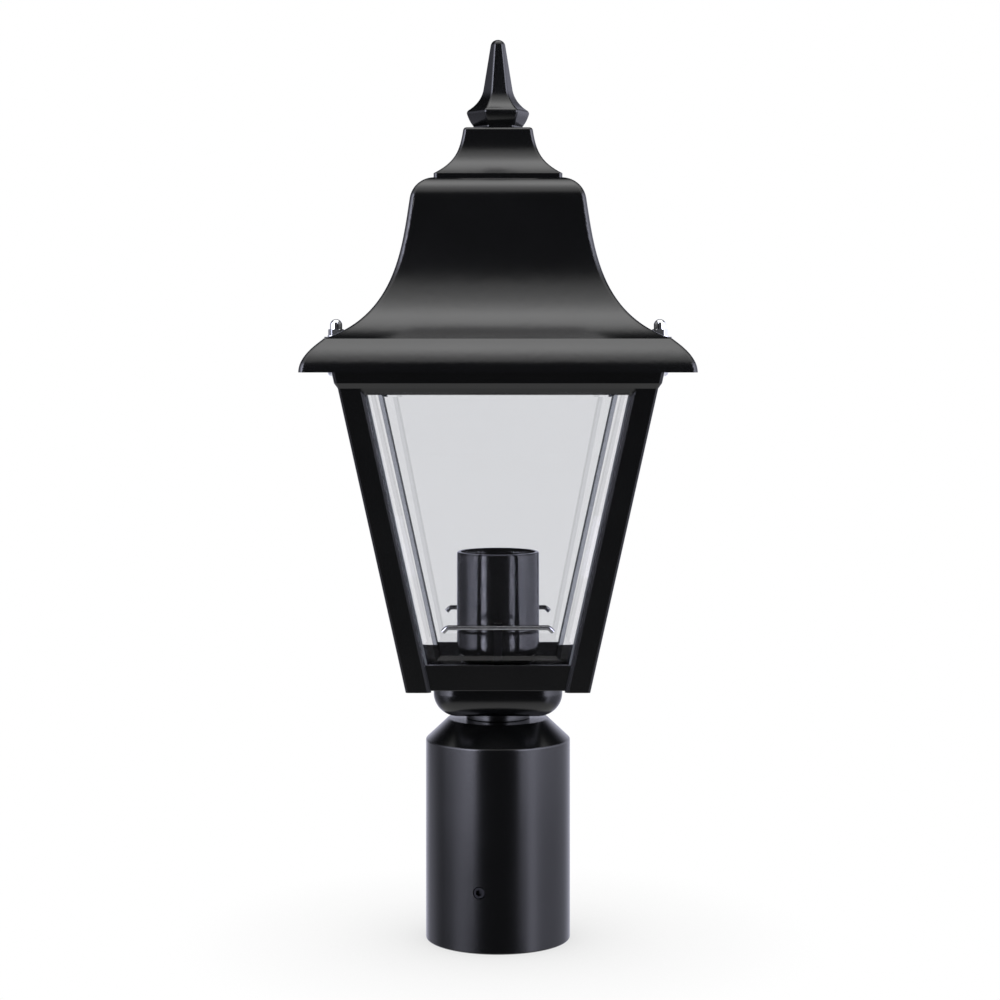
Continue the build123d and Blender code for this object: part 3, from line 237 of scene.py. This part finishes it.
sheet = bpy.data.materials.new("white_sheet")
sheet.use_nodes = True
tree = sheet.node_tree
tree.nodes.clear()
add, join = links_of(tree)
shade = add("ShaderNodeAmbientOcclusion", samples=8)
shade.inputs["Distance"].default_value = SHADOW_REACH
kept = arithmetic(tree, "POWER", shade.outputs["AO"], SHADOW_EASE)
lost = arithmetic(tree, "MULTIPLY", arithmetic(tree, "SUBTRACT", 1.0, kept), SHADOW_DEPTH)
kept = arithmetic(tree, "SUBTRACT", 1.0, lost)
glow = add("ShaderNodeEmission")
join(kept, glow.inputs["Strength"])
plain = add("ShaderNodeBsdfDiffuse")
plain.inputs["Color"].default_value = (FLOOR_GREY, FLOOR_GREY, FLOOR_GREY, 1)
seen = add("ShaderNodeLightPath")
either = add("ShaderNodeMixShader")
join(seen.outputs["Is Camera Ray"], either.inputs[0])
join(plain.outputs[0], either.inputs[1])
join(glow.outputs[0], either.inputs[2])
join(either.outputs[0], add("ShaderNodeOutputMaterial").inputs["Surface"])
floor_mesh.materials.append(sheet)


# ------------------------------------------------------------------ post sleeve
# The sleeve is turned from a casting and slips over the post. It has the same black coat as every
# other casting: sprayed as powder and baked, so it is half glossy with a very fine orange peel.
def new_group(name, inputs, outputs):
    """Empty node group with the named inputs and outputs, each given as (name, kind, value)."""
    group = bpy.data.node_groups.new(name, "ShaderNodeTree")
    for label, kind, value in inputs:
        socket = group.interface.new_socket(label, in_out="INPUT", socket_type=kind)
        if value is not None:
            socket.default_value = value
    for label, kind in outputs:
        group.interface.new_socket(label, in_out="OUTPUT", socket_type=kind)
    return group


def make_coat_grain():
    """Powder coat: peel is a rolling noise with a fine one over it, and cloud a slow one."""
    group = new_group(
        "coat_grain",
        [("Place", "NodeSocketVector", None), ("Peel Size", "NodeSocketFloat", 900.0)],
        [("Height", "NodeSocketFloat"), ("Cloud", "NodeSocketFloat")],
    )
    fine_times = 3.7
    fine_share = 0.3
    add, join = links_of(group)
    entry = add("NodeGroupInput")
    leave = add("NodeGroupOutput")
    peel = add("ShaderNodeTexNoise")
    peel.inputs["Detail"].default_value = 2.0
    join(entry.outputs["Place"], peel.inputs["Vector"])
    join(entry.outputs["Peel Size"], peel.inputs["Scale"])
    fine = add("ShaderNodeTexNoise")
    fine.inputs["Detail"].default_value = 1.0
    join(entry.outputs["Place"], fine.inputs["Vector"])
    join(arithmetic(group, "MULTIPLY", entry.outputs["Peel Size"], fine_times), fine.inputs["Scale"])
    fine_height = arithmetic(group, "MULTIPLY", fine.outputs[0], fine_share)
    height = arithmetic(group, "ADD", peel.outputs[0], fine_height)
    cloud = add("ShaderNodeTexNoise")
    cloud.inputs["Scale"].default_value = 28.0
    cloud.inputs["Detail"].default_value = 4.0
    join(entry.outputs["Place"], cloud.inputs["Vector"])
    join(height, leave.inputs["Height"])
    join(cloud.outputs[0], leave.inputs["Cloud"])
    return group


coat_grain = make_coat_grain()


def new_material(name):
    """New material with its node tree, its Principled shader and the place on the piece."""
    material = bpy.data.materials.new(name)
    material.use_nodes = True
    tree = material.node_tree
    tree.nodes.clear()
    add, join = links_of(tree)
    shader = add("ShaderNodeBsdfPrincipled")
    join(shader.outputs[0], add("ShaderNodeOutputMaterial").inputs["Surface"])
    place = add("ShaderNodeTexCoord").outputs["Object"]
    return material, tree, shader, place


def mixed_colour(tree, factor, first, second):
    """Colour that runs from first to second with factor. Each is a socket or three numbers."""
    add, join = links_of(tree)
    node = add("ShaderNodeMix", data_type="RGBA")
    join(factor, node.inputs["Factor"])
    for socket, colour in zip((node.inputs["A"], node.inputs["B"]), (first, second)):
        if isinstance(colour, tuple):
            socket.default_value = (*colour, 1)
        else:
            join(colour, socket)
    return node.outputs["Result"]


def between(tree, factor, low, high):
    """Number that runs from low to high with factor."""
    return arithmetic(tree, "ADD", arithmetic(tree, "MULTIPLY", factor, high - low), low)


def bump(tree, height, strength, distance):
    """Normal bumped by height, which stands for distance metres."""
    add, join = links_of(tree)
    node = add("ShaderNodeBump")
    node.inputs["Strength"].default_value = strength
    node.inputs["Distance"].default_value = distance
    join(height, node.inputs["Height"])
    return node.outputs["Normal"]


def make_black_coat():
    """Half glossy black powder coat with a slight blue cast."""
    material, tree, shader, place = new_material("black_coat")
    add, join = links_of(tree)
    grain = add("ShaderNodeGroup", node_tree=coat_grain)
    join(place, grain.inputs["Place"])
    grain.inputs["Peel Size"].default_value = 650.0
    colour = mixed_colour(tree, grain.outputs["Cloud"], (0.0018, 0.002, 0.0025), (0.003, 0.0033, 0.004))
    join(colour, shader.inputs["Base Color"])
    join(between(tree, grain.outputs["Cloud"], 0.17, 0.26), shader.inputs["Roughness"])
    join(bump(tree, grain.outputs["Height"], 0.16, 0.00008), shader.inputs["Normal"])
    shader.inputs["IOR"].default_value = 1.5
    return material


def finish(material, *names):
    """Gives CAD nodes a material."""
    for name in names:
        for held in nodes[name].material_slots:
            held.material = material


black_coat = make_black_coat()
finish(black_coat, "post_sleeve")


# ------------------------------------------------------------------ set screws
# Three headless screws of blackened steel grip the post. They are cut from bar, so their faces
# carry fine turning marks.
def make_brushed(name, colour, rough, turned, depth=0.1):
    """Metal with fine scratches, which run round the axis where it is turned, or else across x."""
    material, tree, shader, place = new_material(name)
    add, join = links_of(tree)
    narrow = 14.0
    stretch = add("ShaderNodeMapping")
    stretch.inputs["Scale"].default_value = (1.0, 1.0, narrow) if turned else (narrow, 1.0, 1.0)
    join(place, stretch.inputs["Vector"])
    scratch = add("ShaderNodeTexNoise")
    scratch.inputs["Scale"].default_value = 500.0
    scratch.inputs["Detail"].default_value = 3.0
    join(stretch.outputs[0], scratch.inputs["Vector"])
    darker = tuple(0.8 * part for part in colour)
    join(mixed_colour(tree, scratch.outputs[0], darker, colour), shader.inputs["Base Color"])
    join(between(tree, scratch.outputs[0], rough * 0.8, rough * 1.3), shader.inputs["Roughness"])
    join(bump(tree, scratch.outputs[0], depth, 0.00003), shader.inputs["Normal"])
    shader.inputs["Metallic"].default_value = 1.0
    return material


black_steel = make_brushed("black_steel", (0.03, 0.03, 0.033), 0.35, True)
finish(black_steel, "set_screw_1", "set_screw_2", "set_screw_3")


# ------------------------------------------------------------------ stem, its nuts and washers
# A threaded tube clamps the sleeve, the collar and the bowl together between two lock nuts, each on
# a washer. All of it is zinc plated steel, hidden inside.
zinc_steel = make_brushed("zinc_steel", (0.62, 0.62, 0.6), 0.32, True)
finish(zinc_steel, "stem_tube", "stem_nuts", "stem_washers")


# ------------------------------------------------------------------ cable bush
# A soft black rubber bush is pushed into the lower end of the stem, so that the tube's edge can't
# cut the supply cable. It is moulded, with a dull, dusty skin.
def make_plain(name, colour, rough, peel, depth):
    """Moulded, rubber, ceramic or insulated surface: one colour that varies a little, and its grain."""
    material, tree, shader, place = new_material(name)
    add, join = links_of(tree)
    spread = 0.12
    grain = add("ShaderNodeGroup", node_tree=coat_grain)
    join(place, grain.inputs["Place"])
    grain.inputs["Peel Size"].default_value = peel
    low = tuple(part * (1 - spread) for part in colour)
    high = tuple(min(1.0, part * (1 + spread)) for part in colour)
    join(mixed_colour(tree, grain.outputs["Cloud"], low, high), shader.inputs["Base Color"])
    join(between(tree, grain.outputs["Cloud"], rough * 0.85, rough * 1.15), shader.inputs["Roughness"])
    join(bump(tree, grain.outputs["Height"], 0.2, depth), shader.inputs["Normal"])
    return material


rubber = make_plain("rubber", (0.012, 0.012, 0.013), 0.62, 1500.0, 0.00005)
finish(rubber, "cable_bush")


# ------------------------------------------------------------------ collar and bowl
# The collar is a turned spacer, and the bowl is a casting that holds the wiring under the cage.
# Both have the same baked black coat as the sleeve.
finish(black_coat, "neck_collar", "base_bowl")


# ------------------------------------------------------------------ cage and its screws
# Posts, top ring and pan are one casting in the same black coat. Four plated screws hold it down on
# the bowl, and one more takes the earth wire.
finish(black_coat, "cage")
finish(zinc_steel, "cage_screws", "earth_screw", "earth_washer")


# ------------------------------------------------------------------ corner seals
# A soft grey rubber profile stands in each corner of the cage. Its slots hold the edges of two
# panes, and a thin line of it shows through the glass beside the posts.
finish(make_plain("seal_grey", (0.16, 0.17, 0.2), 0.45, 1500.0, 0.00004), "corner_seals")


# ------------------------------------------------------------------ panes
# Four panes of clear float glass, flat inside and with a broad polished bevel round the outer face.
# The bevel's glass colour carries painted light and shade: a painted highlight band, a painted dark band
# and a painted dark line at its inner edge along the sides, and painted shade over the bottom bevel.
# Sizes are in mm: heights are above the sleeve's rim, and faces are that far back from the faces of the
# posts.
LEAN = math.radians(11.76)
FOOT_HALF = 45.0
FOOT_Z = 129.7
PANE_LOW_Z = 136.6
PANE_TOP_Z = 285.6
PANE_MARGIN = 9.7
PANE_FACE = 4.7
PANE_EDGE = 6.5
PANE_BACK = 8.7
BEVEL_WIDTH = 11.0
FLAT_RING = 6.0
UV_SPAN = 20.0
EDGE_MARKS = (0.5, 1.0, 0.0, 1.0)


def pane_outline(run, inset):
    """Corners of the front pane, run in from its edge and inset back from the face of the posts.

    The side of the cage at a height is FOOT_HALF + (z - FOOT_Z) * tan(LEAN) from the axis. A corner
    lies that far out less the margin and the run, and that far forward less the inset.
    """
    low, high = PANE_LOW_Z + run, PANE_TOP_Z - run
    z = np.array([low, low, high, high])
    side = FOOT_HALF + (z - FOOT_Z) * math.tan(LEAN)
    x = np.array([-1, 1, 1, -1]) * (side - PANE_MARGIN - run)
    return np.stack([x, inset - side, z], axis=1)


def make_pane_mesh(name, quarter_turns):
    """Pane as rings of four corners, from the middle of its face over the bevel to its back.

    U is the distance in from the edge on the outer face, and V is 1 on the sides, 0.5 below and 0 on
    top, so that the material can follow the bevel.
    """
    rings = [
        (BEVEL_WIDTH + FLAT_RING, PANE_FACE),
        (BEVEL_WIDTH, PANE_FACE),
        (0.0, PANE_EDGE),
        (0.0, PANE_BACK),
    ]
    corners = np.concatenate([pane_outline(*ring) for ring in rings]) * MM
    turn = quarter_turns * math.pi / 2
    ahead, aside = math.cos(turn), math.sin(turn)
    spin = np.array([[ahead, aside, 0], [-aside, ahead, 0], [0, 0, 1]])
    faces = [(0, 1, 2, 3)]
    marks = [(BEVEL_WIDTH + FLAT_RING, BEVEL_WIDTH + FLAT_RING, 0.0)]
    for ring in range(len(rings) - 1):
        inner, outer = rings[ring][0], rings[ring + 1][0]
        for side, mark in enumerate(EDGE_MARKS):
            following = (side + 1) % 4
            near, far = 4 * ring, 4 * ring + 4
            faces.append((near + side, far + side, far + following, near + following))
            marks.append((inner, outer, mark))
    last = 4 * (len(rings) - 1)
    faces.append((last + 3, last + 2, last + 1, last))
    marks.append((BEVEL_WIDTH + FLAT_RING, BEVEL_WIDTH + FLAT_RING, 0.0))
    mesh = bpy.data.meshes.new(name)
    mesh.from_pydata((corners @ spin).tolist(), [], faces)
    place = np.array([
        [(inner, mark), (outer, mark), (outer, mark), (inner, mark)] for inner, outer, mark in marks])
    place[..., 0] /= UV_SPAN
    mesh.uv_layers.new(name="bevel").data.foreach_set("uv", place.ravel())
    return mesh


def make_glass():
    """Clear polished glass with the faintest grey, with painted light and shade on its bevel: a painted
    highlight band, a painted dark band and a painted dark line on the sides, and painted shade over the
    bottom bevel, all weaker on back faces.

    A band is how far in from the edge it lies, how far its full tone reaches to each side of that,
    and how far it reaches in all.
    """
    # Bands of painted light and shade on the bevel: a painted highlight, a painted dark band, a painted
    # dark line at its inner edge, and where the painted shade on the bottom bevel ends.
    painted_highlight_band = (6.5, 2.2, 2.6)
    painted_shade_band = (9.6, 0.9, 1.3)
    painted_dark_line_band = (10.9, 0.35, 0.6)
    painted_bottom_shade_fade = (11.2, 10.6)
    material, tree, shader, place = new_material("clear_glass")
    add, join = links_of(tree)
    smear = add("ShaderNodeTexNoise")
    smear.inputs["Scale"].default_value = 18.0
    smear.inputs["Detail"].default_value = 3.0
    join(place, smear.inputs["Vector"])
    colour = mixed_colour(tree, smear.outputs[0], (0.87, 0.875, 0.89), (0.885, 0.89, 0.905))
    split = add("ShaderNodeSeparateXYZ")
    join(add("ShaderNodeUVMap", uv_map="bevel").outputs[0], split.inputs[0])
    run = arithmetic(tree, "MULTIPLY", split.outputs[0], UV_SPAN)
    side = smooth_step(tree, split.outputs[1], 0.6, 0.9)
    below = banded(tree, split.outputs[1], 0.5, 0.1, 0.3)
    entering = between(tree, add("ShaderNodeNewGeometry").outputs["Backfacing"], 1.0, 0.3)
    painted_highlight = banded(tree, run, *painted_highlight_band)
    painted_shade = banded(tree, run, *painted_shade_band)
    painted_dark_line = banded(tree, run, *painted_dark_line_band)
    # Each entry paints light or shade into the glass colour on the bevel: painted highlight, painted
    # dark band, painted shade below and painted dark line. Back faces take less of it.
    tones = (
        (painted_highlight, side, (1.0, 0.99, 1.0)),
        (painted_shade, side, (0.14, 0.15, 0.19)),
        (smooth_step(tree, run, *painted_bottom_shade_fade), below, (0.3, 0.3, 0.32)),
        (painted_dark_line, side, (0.008, 0.009, 0.012)),
    )
    for mask, where, tone in tones:
        share = arithmetic(tree, "MULTIPLY", arithmetic(tree, "MULTIPLY", mask, where), entering)
        colour = mixed_colour(tree, share, colour, tone)
    join(colour, shader.inputs["Base Color"])
    shader.inputs["Transmission Weight"].default_value = 1.0
    shader.inputs["Roughness"].default_value = 0.0
    shader.inputs["IOR"].default_value = 1.5
    return material


clear_glass = make_glass()
for quarter_turns, side in enumerate(("front", "right", "back", "left")):
    name = f"bevelled_pane_{side}"
    pane = bpy.data.objects.new(name, make_pane_mesh(name, quarter_turns))
    pane.data.materials.append(clear_glass)
    bpy.context.scene.collection.objects.link(pane)
    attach(pane, "base")
    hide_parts(f"pane_{side}")


# ------------------------------------------------------------------ spring wires and brackets
# Round spring wire presses the front and back panes outwards. It is held in the groove of a
# narrow blackened steel strip, which a small screw fixes to the pan.
spring_steel = make_brushed("spring_steel", (0.6, 0.6, 0.62), 0.13, False, 0.02)
finish(spring_steel, "spring_wire_front", "spring_wire_back")
finish(black_steel, "spring_brackets", "spring_screws")


# ------------------------------------------------------------------ roof and gasket
# The roof is a thin bell cast in one piece and coated black, with softly rounded hips. It stands on
# a rubber strip that is stuck on top of the ring.
finish(black_coat, "roof")
finish(rubber, "roof_gasket")


# ------------------------------------------------------------------ roof screws, washers and cap nuts
# Two screws come up through the ring's lugs, and a domed nut on a washer holds the roof down on
# each. They are turned and pressed from brass, then chrome plated, so they shine like mirrors.
def make_chrome():
    """Chrome plate: a near mirror with faint haze."""
    material, tree, shader, place = new_material("chrome")
    add, join = links_of(tree)
    haze = add("ShaderNodeTexNoise")
    haze.inputs["Scale"].default_value = 300.0
    join(place, haze.inputs["Vector"])
    colour = mixed_colour(tree, haze.outputs[0], (0.8, 0.81, 0.83), (0.86, 0.87, 0.88))
    join(colour, shader.inputs["Base Color"])
    join(between(tree, haze.outputs[0], 0.04, 0.12), shader.inputs["Roughness"])
    shader.inputs["Metallic"].default_value = 1.0
    return material


chrome = make_chrome()
finish(chrome, "cap_nut_left", "cap_nut_right", "roof_screws", "roof_washers")


# ------------------------------------------------------------------ upper cap
# A second, smaller hollow casting stands on the flat top of the roof. It has the same black coat,
# with rounded hips and top edges.
finish(black_coat, "upper_cap")


# ------------------------------------------------------------------ finial
# A six-sided casting in the same black coat: a foot, a bulge and a slim spire with a round tip, bored
# for its stud. The corners between its sides are softly rounded.
def arc(start, middle, end, count):
    """Points on the circle through three points: its centre is as far from all three."""
    start, middle, end = (np.array(point, dtype=float) for point in (start, middle, end))
    chords = 2 * np.array([middle - start, end - start])
    centre = np.linalg.solve(chords, [middle @ middle - start @ start, end @ end - start @ start])
    turns = np.unwrap([math.atan2(*(point - centre)[::-1]) for point in (start, middle, end)])
    around = np.linspace(turns[0], turns[2], count)
    return centre + math.dist(start, centre) * np.stack([np.cos(around), np.sin(around)], axis=1)


def curve(points, count):
    """Cubic curve with four control points: (1-t)^3 P0 + 3 (1-t)^2 t P1 + 3 (1-t) t^2 P2 + t^3 P3."""
    t = np.linspace(0, 1, count)[:, None]
    parts = (1 - t) ** 3, 3 * (1 - t) ** 2 * t, 3 * (1 - t) * t ** 2, t ** 3
    return sum(part * np.array(point, dtype=float) for part, point in zip(parts, points))


def carried_round(name, runs, round_rows, sides, turn, corner_r, arc_steps):
    """Solid whose flat sides follow a profile of (distance off the axis, height), with round corners.

    At each point of the profile the section is a regular polygon that far from the axis. Its corners
    are arcs of radius r about points (distance - r) / cos(pi / sides) out, where r is the corner
    radius or less near the axis, and the whole distance in the first rows, which makes them circles.
    A run's normals are smooth along it and break between runs.
    """
    half = math.pi / sides
    corner_at = turn + half + 2 * half * np.arange(sides)
    around = (corner_at[:, None] + np.linspace(-half, half, arc_steps + 1)).ravel()
    corner_at = np.repeat(corner_at, arc_steps + 1)
    count = len(around)
    profile = np.concatenate([runs[0][:1]] + [run[1:] for run in runs])
    radius = np.minimum(corner_r, 0.5 * profile[:, 0])[:, None]
    radius[:round_rows] = profile[:round_rows, :1]
    reach = (profile[:, :1] - radius) / math.cos(half)
    x = reach * np.cos(corner_at) + radius * np.cos(around)
    y = reach * np.sin(corner_at) + radius * np.sin(around)
    z = np.repeat(profile[:, 1:], count, axis=1)
    corners = np.stack([x, y, z], axis=2).reshape(-1, 3)
    quads, normals = [], []
    row = 0
    here = np.arange(count)
    following = (here + 1) % count
    lift = np.cos(around - corner_at) / math.cos(half)
    for run in runs:
        slope = np.gradient(run, axis=0)
        facing = np.stack([
            slope[:, 1:] * np.cos(around), slope[:, 1:] * np.sin(around), -slope[:, :1] * lift], axis=2)
        facing /= np.linalg.norm(facing, axis=2, keepdims=True)
        for step in range(len(run) - 1):
            low, high = (row + step) * count, (row + step + 1) * count
            quads.append(np.stack([low + here, low + following, high + following, high + here], axis=1))
            near, far = facing[step], facing[step + 1]
            normals.append(np.stack([near, near[following], far[following], far], axis=1))
        row += len(run) - 1
    first_end = list(range(count))[::-1]
    last_end = list(range(len(corners) - count, len(corners)))
    faces = np.concatenate(quads).tolist() + [first_end, last_end]
    ends = np.repeat([[0, 0, -1], [0, 0, 1]], count, axis=0)
    normals = np.concatenate([np.concatenate(normals).reshape(-1, 3), ends])
    mesh = bpy.data.meshes.new(name)
    mesh.from_pydata((corners * MM).tolist(), [], faces)
    mesh.normals_split_custom_set(normals.tolist())
    return mesh


FINIAL_Z = 407.2
FINIAL_TIP_Z = 452.5
FINIAL_TURN = math.radians(37)
STUD_R = 3.0
STUD_TOP_Z = FINIAL_Z + 12.0
FOOT = (11.0, FINIAL_Z + 1.4)
FOOT_BREAK = 0.3
UNDER_BULGE = (13.1, FINIAL_Z + 5.3)
BULGE = (13.9, FINIAL_Z + 7.8)
OVER_BULGE = (BULGE[0] - 0.15, FINIAL_Z + 8.9)
BROW = (13.1, FINIAL_Z + 9.7)
FLARE = [(9.9, FINIAL_Z + 12.0), (7.25, FINIAL_Z + 15.6)]
SPIRE = (6.55, FINIAL_Z + 20.4)
POINT = (3.45, FINIAL_TIP_Z - 3.0)
ROUND_TIP = (2.3, FINIAL_TIP_Z - 0.85)
BY_AXIS = 0.05
BORE_ROWS = 3
SIDES = 6
CORNER_R = 1.6
CORNER_STEPS = 6
finial_runs = [
    np.array([(BY_AXIS, STUD_TOP_Z), (STUD_R, STUD_TOP_Z)]),
    np.array([(STUD_R, STUD_TOP_Z), (STUD_R, FINIAL_Z)]),
    np.array([(STUD_R, FINIAL_Z), (FOOT[0] - FOOT_BREAK, FINIAL_Z)]),
    np.array([(FOOT[0] - FOOT_BREAK, FINIAL_Z), (FOOT[0], FINIAL_Z + FOOT_BREAK), FOOT]),
    arc(FOOT, UNDER_BULGE, BULGE, 14),
    arc(BULGE, OVER_BULGE, BROW, 8),
    curve([BROW, *FLARE, SPIRE], 28),
    np.linspace(SPIRE, POINT, 12),
    arc(POINT, ROUND_TIP, (BY_AXIS, FINIAL_TIP_Z - 0.01), 16),
]
finial_mesh = carried_round(
    "finial_casting", finial_runs, BORE_ROWS, SIDES, FINIAL_TURN, CORNER_R, CORNER_STEPS)
finial = bpy.data.objects.new("finial_casting", finial_mesh)
finial.data.materials.append(black_coat)
bpy.context.scene.collection.objects.link(finial)
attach(finial, "roof")
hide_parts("finial")


# ------------------------------------------------------------------ finial stud, washer and nut
# A plated stud runs from the finial down through the cap and the roof, with a wide washer and a nut
# inside that draw the three castings together.
finish(zinc_steel, "finial_stud", "finial_washer", "finial_nut")


# ------------------------------------------------------------------ lampholder strap and nipple
# A blackened steel strap bridges the opening in the pan. The lampholder stands on it, held by a
# threaded nipple and a thin nut below.
finish(black_steel, "holder_strap", "strap_screws")
finish(zinc_steel, "holder_nipple", "nipple_nut")


# ------------------------------------------------------------------ lampholder cap and sleeve
# Two glossy black mouldings that screw together: the cap with its narrow neck, and the sleeve with
# a skirt inside. The seam between them shows as a fine groove.
holder_black = make_plain("holder_black", (0.004, 0.004, 0.0045), 0.13, 500.0, 0.00002)
finish(holder_black, "holder_cap", "holder_sleeve")


# ------------------------------------------------------------------ lampholder core
# A pressed and fired ceramic disc carries the screw shell and the sprung contact. It is off-white
# and dull, with a fine grain.
finish(make_plain("ceramic", (0.78, 0.76, 0.71), 0.5, 900.0, 0.00008), "holder_core")


# ------------------------------------------------------------------ screw shell, contact and spring
# The shell is drawn from brass sheet and the contact is a turned brass button. A small coil spring
# under the button pushes it against the lamp.
brass = make_brushed("brass", (0.72, 0.5, 0.2), 0.25, True)
finish(brass, "screw_shell", "centre_contact")
finish(spring_steel, "contact_spring")


# ------------------------------------------------------------------ terminal block and leads
# A white moulded block with brass clamp screws joins the supply cable to a brown and a blue lead.
# They run up from it and bend forward into the back of the lampholder's neck.
finish(make_plain("block_white", (0.72, 0.72, 0.7), 0.45, 900.0, 0.00004), "terminal_block")
finish(brass, "terminal_screws")
finish(make_plain("lead_brown", (0.09, 0.035, 0.015), 0.4, 700.0, 0.00003), "lead_live")
finish(make_plain("lead_blue", (0.02, 0.07, 0.3), 0.4, 700.0, 0.00003), "lead_neutral")
